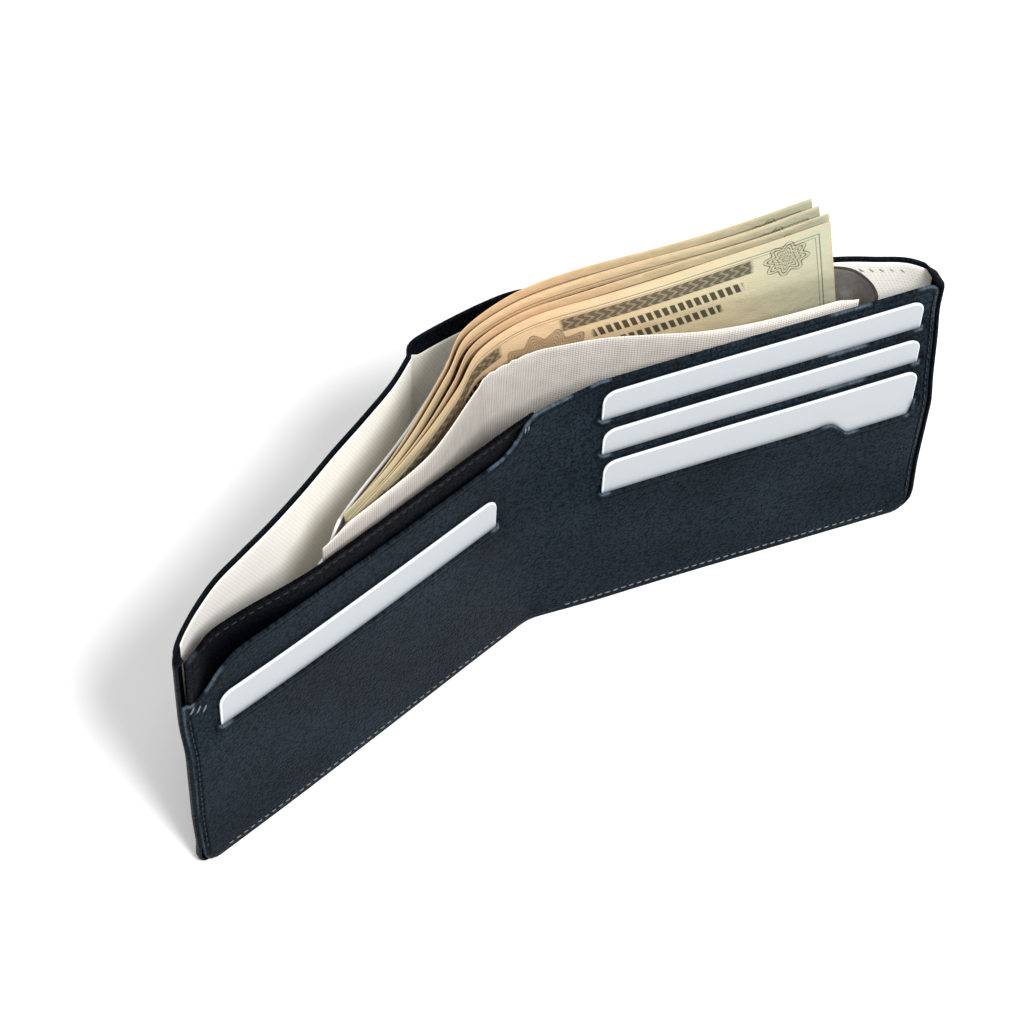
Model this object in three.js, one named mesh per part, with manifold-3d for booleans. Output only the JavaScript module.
// A bifold wallet standing open on its long edge, with four cards in its slots and
// a few notes in its note section. Millimetres, +Z up, and the right wing runs along +X.
// Each wing is drawn in its own frame, with the fold axis on Z: s runs from the fold to the
// wing's outer edge, n runs from the card face to the back, z is the height. At the end the
// whole wallet is moved, so that the origin is the middle of its underside.
import * as THREE from 'three';
import { mergeVertices } from 'three/addons/utils/BufferGeometryUtils.js';
import Module from 'manifold-3d';

const wasm = await Module();
wasm.setup();

// Driving dimensions
const WING = 110;            // fold axis to outer edge
const HEIGHT = 85;           // height of the wallet standing on its edge
const OPEN_ANGLE = 160;      // angle between the two card faces
const FOLD_GAP = 0.3;        // each wing stops this far from the fold axis
const FACE_EDGE = 108.2;     // outer edge of the face leathers, inside the cover's side
const PANEL_EDGE = 105;      // outer edge of the cloth behind them
const LEATHER = 0.8;
const CLOTH = 0.3;
const LINING_GAP = 0.9;      // from the cover's inner face to the lining's inner face
const GAP = 0.12;            // between a card and the leather on either side of it
const CARD = { width: 85.6, height: 54, thickness: 0.76, radius: 3.2 };
const FACE = 0.6;            // front of the foremost leather, measured from the fold axis
const STEP = LEATHER + CARD.thickness + 2 * GAP;   // one slot further back
const CORNER = 7;            // outer corners, bottom
const TOP_CORNER = 4;        // outer corners, top

// Card slots of the right wing, foremost first: height of the slit, top of its card
const RIGHT_SLOTS = [
  { name: 'bottom', slit: 46.5, cardTop: 57.8 },
  { name: 'middle', slit: 60.0, cardTop: 68.3 },
  { name: 'top', slit: 71.4, cardTop: 80.9 },
];
const RIGHT_CARD_START = 18.2;
const LEFT_SLOT = { slit: 52.5, cardTop: 63.3 };
const LEFT_CARD_START = 13.2;
const SLOT_SIDE = 0.9;       // a slit is this much longer than its card at each end
const SLOT_LINING = { side: 0.4, below: 1.2, above: 1, clear: 0.1 };   // cloth behind a card
const NOTCH = { start: 82, depth: 5.2, radius: 4 };   // thumb notch in the foremost slot

// Left pocket front, in front of the left rear panel
const POCKET_TOP = 76;
const POCKET_DIP = 66;       // height of its top edge at the outer seam
const REAR_PANEL = 5.2;      // front of the left rear panel

// Note section, as plan curves from the fold (s, n)
const DIVIDER_RISE = 3;      // the cloth divider stands this much above the leather
const WALL_BOTTOM = 1;       // walls of the note section start this far above the table
const LINING_DROP = 1.6;     // the lining stops this far under the cover's rim
const PANEL_DROP = 1.5;      // so does the cloth behind the panels
const DIVIDER_RIGHT = [[FOLD_GAP, 16.6], [14, 15.6], [30, 12.4], [47, 9.4], [65, 8.2], [86, 7.9]];
const DIVIDER_LEFT = [[FOLD_GAP, 16.6], [12, 13.6], [22, 10.4], [34, 8.6], [46, 8.0], [58, 7.9]];
const REAR_WALL_RIGHT = [
  [FOLD_GAP, 29], [30, 26], [58, 21], [78, 17.2], [86.6, 14.6], [90.2, 11.4], [90.4, 9.2],
];
const REAR_WALL_LEFT = [
  [FOLD_GAP, 29], [14, 24.6], [30, 19], [46, 14.2], [56, 11.6], [61.4, 9.8], [63.4, 9.0],
];
const COVER_CURVE = [
  [FOLD_GAP, 38], [12, 35.6], [30, 31.6], [60, 25], [85, 19.6], [98, 15.2], [105.6, 11], [109, 6.4],
  [109.3, 3], [109.3, FACE],
];
const SPINE_RADIUS = 40;     // inside of the spine strip round the fold axis, at the top
const SPINE_HALF_ANGLE = 15; // to each side of the middle of the spine

// Every wall of the note section narrows to the bottom seam: it stands upright above the
// belly's height, and at the bottom it lies at its own seam depth behind the panel
const BELLY_HEIGHT = 45;
const SEAM_DEPTH = { divider: 7.8, rear: 8.5, lining: 9.6, cover: 10.4, spine: 13.4 };
const BELLY_POWER = 2.5;     // how sharply it turns in
const WALL_ROWS = 9;         // rows of facets up a wall
const SPINE_STEPS = 10;      // facets round the spine strip

// Notes: a loose bundle, partly drawn out of the pocket
const NOTE = { height: 67, thickness: 0.35, pitch: 1.5, bottom: 36, right: 78, left: 57 };
const NOTE_COUNT = 4;
const NOTE_SLOPE = 0.165;    // the bundle is pulled up at its right end
const NOTE_STAGGER = 0.8;    // each note stands this much higher than the one in front
const NOTE_SEAM = 10;        // how far back the bundle lies at the bottom seam
const NOTE_RIGHT = [[FOLD_GAP, 19.2], [20, 17.6], [42, 14.0], [60, 11.6], [NOTE.right, 10.6]];
const NOTE_LEFT = [[FOLD_GAP, 19.2], [14, 15.6], [28, 11.8], [42, 9.9], [NOTE.left, 8.6]];

// Stitches
const STITCH = { length: 2.4, pitch: 3.6, width: 0.45, thickness: 0.3, clear: 0.12, inset: 2.6 };

const TACK_SPACING = 1.6;    // between the threads of a bar tack
const SIDE_SEAM_TOP = 42;    // the side seams end here, under the lips of the slots

const COLOURS = {
  leather: 0x2b3640, cover: 0x14181d, cloth: 0xc9c0bd, lining: 0xe4dfd2,
  suede: 0xa7a19b, thread: 0x7f8c94, card: 0xcdd2d6, note: 0xd3c79d,
};
const finish = (color, roughness = 0.75) => new THREE.MeshStandardMaterial({ color, roughness });
const leather = finish(COLOURS.leather, 0.62);
const coverLeather = finish(COLOURS.cover, 0.6);
const woven = finish(COLOURS.cloth, 0.95);
const liningCloth = finish(COLOURS.lining, 0.95);
const suede = finish(COLOURS.suede, 0.98);
const thread = finish(COLOURS.thread, 0.8);
const cardPlastic = finish(COLOURS.card, 0.4);
const notePaper = finish(COLOURS.note, 0.9);

const STRIP_JOIN = 0.5;      // how far a strip runs into the columns beside it
const CUT_FRONT = 1;         // the solids that trim a face start this far in front of the fold
const CUT_BEHIND = 12;       // and are this deep

// Booleans
function toManifold(geometry) {
  const bare = geometry.clone();
  bare.deleteAttribute('normal');
  bare.deleteAttribute('uv');
  const merged = mergeVertices(bare, 1e-4);
  return new wasm.Manifold(new wasm.Mesh({
    numProp: 3,
    vertProperties: Float32Array.from(merged.attributes.position.array),
    triVerts: Uint32Array.from(merged.index.array),
  }));
}

function toGeometry(solid) {
  const mesh = solid.getMesh();
  const geometry = new THREE.BufferGeometry();
  geometry.setAttribute('position', new THREE.BufferAttribute(mesh.vertProperties, 3));
  geometry.setIndex(new THREE.BufferAttribute(mesh.triVerts, 1));
  geometry.computeVertexNormals();
  return geometry;
}

const union = (geometries) => toGeometry(wasm.Manifold.union(geometries.map(toManifold)));
const trim = (geometry, cutter) => toGeometry(toManifold(geometry).subtract(toManifold(cutter)));
const keepInside = (geometry, limit) => toGeometry(toManifold(geometry).intersect(toManifold(limit)));

// A flat sheet in the wing's plane: an outline in (s, z), from n = front to front + thickness
function sheet(outline, front, thickness, curveSegments = 6) {
  const geometry = new THREE.ExtrudeGeometry(outline, {
    depth: thickness, bevelEnabled: false, curveSegments,
  });
  return geometry.rotateX(Math.PI / 2).translate(0, front + thickness, 0);
}

// How far up its belly a wall is: 0 at the bottom seam, 1 where it stands upright
const belly = (z) => 1 - Math.max(0, 1 - z / BELLY_HEIGHT) ** BELLY_POWER;

const planCurve = (points) => new THREE.CatmullRomCurve3(
  points.map(([s, n]) => new THREE.Vector3(s, n, 0)),
);

// A standing wall: a plan curve in (s, n), thickened towards the back, from z0 to z1. It is
// drawn in to its seam depth towards the bottom, without thinning, and rises with the slope.
function wall(points, thickness, z0, z1, seamDepth, { steps = 18, slope = 0 } = {}) {
  const curve = planCurve(points);
  const geometry = new THREE.BoxGeometry(1, 1, 1, steps, 1, WALL_ROWS);
  const position = geometry.attributes.position;
  for (let i = 0; i < position.count; i += 1) {
    const along = position.getX(i) + 0.5;
    const outward = (position.getY(i) + 0.5) * thickness;
    const point = curve.getPoint(along);
    const tangent = curve.getTangent(along);
    const z = z0 + (position.getZ(i) + 0.5) * (z1 - z0) + slope * point.x;
    const pull = Math.max(0, point.y - seamDepth) * (1 - belly(z));
    position.setXYZ(i, point.x - tangent.y * outward, point.y + tangent.x * outward - pull, z);
  }
  return geometry;
}

// A sheet that leans back in steps: a profile in (n, z), extruded along s
function leaning(profile, s0, s1) {
  const outline = new THREE.Shape([
    ...profile.map(([n, z]) => new THREE.Vector2(n, z)),
    ...[...profile].reverse().map(([n, z]) => new THREE.Vector2(n + LEATHER, z)),
  ]);
  const geometry = new THREE.ExtrudeGeometry(outline, { depth: s1 - s0, bevelEnabled: false });
  // shape (n, z) and depth s become (s, n, z)
  const turn = new THREE.Matrix4().set(0, 0, 1, s0, 1, 0, 0, 0, 0, 1, 0, 0, 0, 0, 0, 1);
  return geometry.applyMatrix4(turn);
}

function rectangle(s0, s1, z0, z1) {
  return new THREE.Shape([
    new THREE.Vector2(s0, z0), new THREE.Vector2(s1, z0),
    new THREE.Vector2(s1, z1), new THREE.Vector2(s0, z1),
  ]);
}

// The wing's outline, with its two outer corners rounded
function wingOutline(s1, z1) {
  const shape = new THREE.Shape();
  shape.moveTo(FOLD_GAP, 0);
  shape.lineTo(s1 - CORNER, 0);
  shape.absarc(s1 - CORNER, CORNER, CORNER, -Math.PI / 2, 0, false);
  shape.lineTo(s1, z1 - TOP_CORNER);
  shape.absarc(s1 - TOP_CORNER, z1 - TOP_CORNER, TOP_CORNER, 0, Math.PI / 2, false);
  shape.lineTo(FOLD_GAP, z1);
  return shape;
}

function roundedCard(start, top) {
  const { width, height, radius } = CARD;
  const bottom = top - height;
  const corners = [
    [start + width - radius, bottom + radius, -Math.PI / 2],
    [start + width - radius, top - radius, 0],
    [start + radius, top - radius, Math.PI / 2],
    [start + radius, bottom + radius, Math.PI],
  ];
  const shape = new THREE.Shape();
  shape.moveTo(start + radius, bottom);
  corners.forEach(([s, z, angle]) => shape.absarc(s, z, radius, angle, angle + Math.PI / 2, false));
  return shape;
}

// Builds one wing's meshes. mirror turns s into -s for the left wing.
class Wing {
  constructor(side, mirror) {
    this.side = side;
    this.mirror = mirror;
    this.group = new THREE.Group();
  }

  add(name, geometry, material) {
    let placed = geometry;
    if (this.mirror) {
      placed = toGeometry(toManifold(geometry).mirror([1, 0, 0]));
    }
    const mesh = new THREE.Mesh(placed, material.clone());
    mesh.name = name;
    this.group.add(mesh);
    return mesh;
  }
}

const right = new Wing('right', false);
const left = new Wing('left', true);
const front = (level) => FACE + level * STEP;

// Right face: one leather with three slits, each strip one step behind the strip below it
function rightFace() {
  const slotStart = RIGHT_CARD_START - SLOT_SIDE;
  const slotEnd = RIGHT_CARD_START + CARD.width + SLOT_SIDE;
  const [low, middle, high] = RIGHT_SLOTS.map((slot) => slot.slit);
  const leanStart = low - 4;
  const leanEnd = high + 6;
  const profile = [
    [front(0), 0], [front(0), leanStart], [front(1), (low + middle) / 2],
    [front(2), (middle + high) / 2], [front(3), leanEnd], [front(3), HEIGHT],
  ];
  const tops = [low, middle, high, HEIGHT];
  const strips = tops.map((top, level) => {
    const bottom = level === 0 ? 0 : tops[level - 1];
    return sheet(rectangle(slotStart - STRIP_JOIN, slotEnd + STRIP_JOIN, bottom, top),
      front(level), LEATHER);
  });
  const notchFloor = low - NOTCH.depth;
  const notchTop = low + 1;
  const notchEnd = slotEnd - 1;
  const notch = new THREE.Shape();
  notch.moveTo(NOTCH.start, notchTop);
  notch.quadraticCurveTo(NOTCH.start + NOTCH.radius / 2, notchFloor,
    NOTCH.start + NOTCH.radius * 2, notchFloor);
  notch.lineTo(notchEnd, notchFloor);
  notch.lineTo(notchEnd, notchTop);
  const whole = union([
    leaning(profile, FOLD_GAP, slotStart), leaning(profile, slotEnd, FACE_EDGE), ...strips,
  ]);
  const notched = trim(whole, sheet(notch, -CUT_FRONT, front(0) + LEATHER + CUT_FRONT + GAP));
  return keepInside(notched, sheet(wingOutline(FACE_EDGE, HEIGHT), -CUT_FRONT, CUT_BEHIND));
}

// Left face: the front of the left pocket, with one slit
function leftFace() {
  const slotStart = LEFT_CARD_START - SLOT_SIDE;
  const slotEnd = LEFT_CARD_START + CARD.width + SLOT_SIDE;
  const { slit } = LEFT_SLOT;
  const lean = 8;
  const profile = [
    [front(0), 0], [front(0), slit - lean], [front(1), slit + lean], [front(1), HEIGHT],
  ];
  const tip = HEIGHT - 1;
  const dipEnd = WING - 17;
  const riseStart = 14;
  const outline = new THREE.Shape();
  outline.moveTo(FOLD_GAP, 0);
  outline.lineTo(FACE_EDGE - CORNER, 0);
  outline.absarc(FACE_EDGE - CORNER, CORNER, CORNER, -Math.PI / 2, 0, false);
  outline.lineTo(FACE_EDGE, POCKET_DIP);
  outline.bezierCurveTo(dipEnd + 12, POCKET_DIP + 1, dipEnd + 11, POCKET_TOP, dipEnd, POCKET_TOP);
  outline.lineTo(riseStart, POCKET_TOP);
  outline.bezierCurveTo(riseStart - 8, POCKET_TOP, riseStart - 5, tip, riseStart - 12, tip);
  outline.lineTo(FOLD_GAP, tip);
  const whole = union([
    leaning(profile, FOLD_GAP, slotStart),
    leaning(profile, slotEnd, FACE_EDGE),
    sheet(rectangle(slotStart - STRIP_JOIN, slotEnd + STRIP_JOIN, 0, slit), front(0), LEATHER),
    sheet(rectangle(slotStart - STRIP_JOIN, slotEnd + STRIP_JOIN, slit, HEIGHT), front(1), LEATHER),
  ]);
  return keepInside(whole, sheet(outline, -CUT_FRONT, CUT_BEHIND));
}

// One stitch or thread lying on the leather: length along s before it is turned
function threadPiece(length, width, thickness, angle, s, z, n) {
  return new THREE.BoxGeometry(length, thickness, width)
    .rotateY(-angle).translate(s, n - STITCH.clear - thickness / 2, z);
}

// A seam: one thread that runs its whole length, with a raised stitch at each pitch
function seam(from, to, n) {
  const start = new THREE.Vector2(...from);
  const run = new THREE.Vector2(...to).sub(start);
  const angle = run.angle();
  const count = Math.floor(run.length() / STITCH.pitch);
  const middle = run.clone().multiplyScalar(0.5).add(start);
  const pieces = [threadPiece(run.length(), STITCH.width / 2, STITCH.thickness / 2, angle,
    middle.x, middle.y, n)];
  for (let i = 0; i < count; i += 1) {
    const at = run.clone().multiplyScalar((i + 0.5) / count).add(start);
    pieces.push(threadPiece(STITCH.length, STITCH.width, STITCH.thickness, angle, at.x, at.y, n));
  }
  return union(pieces);
}

// A bar tack: short diagonal threads, crossed by one upright thread
function barTack(s, z, n, count) {
  const height = (count - 1) * TACK_SPACING;
  const pieces = [threadPiece(height + STITCH.length / 2, STITCH.width, STITCH.thickness / 2,
    Math.PI / 2, s, z - height / 2, n)];
  for (let i = 0; i < count; i += 1) {
    pieces.push(threadPiece(STITCH.length, STITCH.width, STITCH.thickness, Math.PI / 4,
      s, z - i * TACK_SPACING, n));
  }
  return union(pieces);
}

// One half of the outer cover, round to the front at the wing's outer edge
function coverHalf() {
  const curved = wall(COVER_CURVE, LEATHER, 0, HEIGHT, SEAM_DEPTH.cover, { steps: 30 });
  return keepInside(curved, sheet(wingOutline(WING + 1, HEIGHT), -CUT_FRONT, SPINE_RADIUS + 5));
}

// The lining follows the cover just inside it, up to where the cover turns forward
const LINING_END = [103.6, 11];
const LINING_CURVE = [...COVER_CURVE.slice(0, -4).map(([s, n]) => [s, n - LINING_GAP]), LINING_END];
const SEAM_EDGE = WING - STITCH.inset;
const SEAM_END = 9;          // the bottom seams stop this far from the fold
const PANEL_BACK = front(3) + LEATHER + 0.15;

// The cloth behind a card, from under the card up to just below the slit
function slotLining(start, { cardTop, slit }, level) {
  const { side, below, above, clear } = SLOT_LINING;
  const cloth = rectangle(start - side, start + CARD.width + side,
    cardTop - CARD.height - below, slit - above);
  return sheet(cloth, front(level + 1) + clear, CLOTH);
}

const panelBack = () => sheet(wingOutline(PANEL_EDGE, HEIGHT - PANEL_DROP), PANEL_BACK, CLOTH);

// The walls of the note section that both wings have
function addWalls(wing, dividerCurve, rearCurve) {
  const { side } = wing;
  wing.add(`panel_back_${side}`, panelBack(), woven);
  wing.add(`divider_${side}`, wall(dividerCurve, CLOTH, WALL_BOTTOM, HEIGHT + DIVIDER_RISE,
    SEAM_DEPTH.divider), woven);
  wing.add(`note_pocket_rear_${side}`, wall(rearCurve, LEATHER, WALL_BOTTOM, HEIGHT,
    SEAM_DEPTH.rear, { steps: 24 }), suede);
  wing.add(`lining_${side}`, wall(LINING_CURVE, CLOTH, WALL_BOTTOM, HEIGHT - LINING_DROP,
    SEAM_DEPTH.lining), liningCloth);
  wing.add(`cover_${side}`, coverHalf(), coverLeather);
  wing.add(`side_stitches_${side}`, seam([SEAM_EDGE, CORNER], [SEAM_EDGE, SIDE_SEAM_TOP],
    front(0)), thread);
  wing.add(`bottom_stitches_${side}`, seam([SEAM_END, STITCH.inset],
    [WING - CORNER, STITCH.inset], front(0)), thread);
}

function buildRight() {
  right.add('face_right', rightFace(), leather);
  RIGHT_SLOTS.forEach((slot, level) => {
    right.add(`slot_lining_${slot.name}`, slotLining(RIGHT_CARD_START, slot, level), woven);
  });
  addWalls(right, DIVIDER_RIGHT, REAR_WALL_RIGHT);
}

// The spine strip: an arc round the fold axis, outside the ends of both cover halves
function buildSpine() {
  const middle = 90 + (180 - OPEN_ANGLE) / 2;
  const geometry = new THREE.BoxGeometry(1, 1, 1, SPINE_STEPS, 1, WALL_ROWS);
  const position = geometry.attributes.position;
  for (let i = 0; i < position.count; i += 1) {
    const angle = THREE.MathUtils.degToRad(middle - 2 * SPINE_HALF_ANGLE * position.getX(i));
    const z = (position.getZ(i) + 0.5) * HEIGHT;
    const inner = SEAM_DEPTH.spine + (SPINE_RADIUS - SEAM_DEPTH.spine) * belly(z);
    const radius = inner + (position.getY(i) + 0.5) * LEATHER;
    position.setXYZ(i, radius * Math.cos(angle), radius * Math.sin(angle), z);
  }
  right.add('cover_spine', geometry, coverLeather);
}

function buildLeft() {
  const topSeam = HEIGHT - 2.4;
  left.add('face_left', leftFace(), leather);
  left.add('slot_lining_left', slotLining(LEFT_CARD_START, LEFT_SLOT, 0), woven);
  left.add('rear_panel_left', sheet(wingOutline(FACE_EDGE - 0.6, HEIGHT), REAR_PANEL, LEATHER),
    leather);
  addWalls(left, DIVIDER_LEFT, REAR_WALL_LEFT);
  left.add('top_stitches_left', seam([SEAM_END - 1, topSeam], [WING - 6, topSeam], REAR_PANEL),
    thread);
  left.add('bar_tack_outer', barTack(WING - 3, POCKET_DIP - 3, front(1), 3), thread);
  left.add('bar_tack_fold', barTack(2.4, HEIGHT - 3.4, front(1), 2), thread);
}

function buildCards() {
  RIGHT_SLOTS.forEach((slot, level) => {
    right.add(`card_${slot.name}`, sheet(roundedCard(RIGHT_CARD_START, slot.cardTop),
      front(level) + LEATHER + GAP, CARD.thickness), cardPlastic);
  });
  left.add('card_left', sheet(roundedCard(LEFT_CARD_START, LEFT_SLOT.cardTop),
    front(0) + LEATHER + GAP, CARD.thickness), cardPlastic);
}

function buildNotes() {
  for (let i = 0; i < NOTE_COUNT; i += 1) {
    // the bundle is loose where it crosses the fold and closes towards its ends
    const spread = (points, endShare) => points.map(([s, n], index) => {
      const share = 1 - index / (points.length - 1);
      return [s, n + i * NOTE.pitch * (endShare + (1 - endShare) * share)];
    });
    const bottom = NOTE.bottom + i * NOTE_STAGGER;
    const half = (points, slope) => wall(points, NOTE.thickness, bottom, bottom + NOTE.height,
      NOTE_SEAM, { slope });
    right.add(`note_${i + 1}_right`, half(spread(NOTE_RIGHT, 0.45), NOTE_SLOPE), notePaper);
    left.add(`note_${i + 1}_left`, half(spread(NOTE_LEFT, 0.36), -NOTE_SLOPE), notePaper);
  }
}

buildRight();
buildSpine();
buildLeft();
buildCards();
buildNotes();

const wallet = new THREE.Group();
left.group.rotation.z = THREE.MathUtils.degToRad(180 - OPEN_ANGLE);
wallet.add(right.group, left.group);
wallet.updateMatrixWorld(true);
const middle = new THREE.Box3().setFromObject(wallet, true).getCenter(new THREE.Vector3());
wallet.position.set(-middle.x, -middle.y, 0);

export default wallet;
